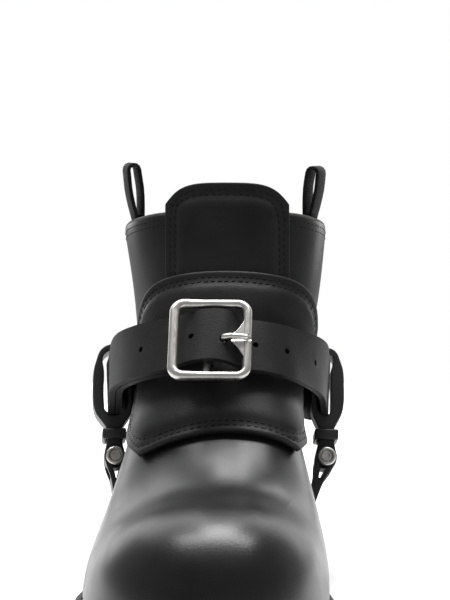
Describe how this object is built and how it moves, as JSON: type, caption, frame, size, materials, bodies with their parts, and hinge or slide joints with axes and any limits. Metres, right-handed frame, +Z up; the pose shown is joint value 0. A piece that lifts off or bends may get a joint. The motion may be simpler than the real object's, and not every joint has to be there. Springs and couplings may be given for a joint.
{
  "type": "harness ankle boot",
  "caption": "Pull-on black leather ankle boot for the right foot with a padded instep shield, a buckled harness strap through side loops, pull tabs and a block heel.",
  "frame": {"origin": "on the floor under the middle of the bounding box", "axes": "+Z up, toe towards -Y, inner side of the foot towards +X"},
  "size_m": [0.119, 0.301, 0.1925],
  "materials": {
    "leather_upper": "smooth black leather with a soft polish",
    "leather_strap": "black strap leather, matt",
    "satin_metal": "satin nickel",
    "tape": "woven black tape",
    "insole": "plain dark leather",
    "welt": "black edge-dressed leather",
    "outsole": "matt black rubber"
  },
  "bodies": {
    "root": {"upper": "leather_upper", "tongue_panel": "leather_upper", "shield": "leather_upper", "harness_strap": "leather_strap", "side_strap_outer": "leather_strap", "side_strap_inner": "leather_strap", "neck_band_outer": "leather_strap", "neck_band_inner": "leather_strap", "stirrup_outer": "leather_strap", "stirrup_inner": "leather_strap", "buckle_frame": "satin_metal", "buckle_prong": "satin_metal", "bolt_outer": "satin_metal", "bolt_inner": "satin_metal", "pull_loop_outer": "tape", "pull_loop_inner": "tape", "insole": "insole", "welt": "welt", "outsole": "outsole", "heel": "outsole"}
  },
  "joints": []
}
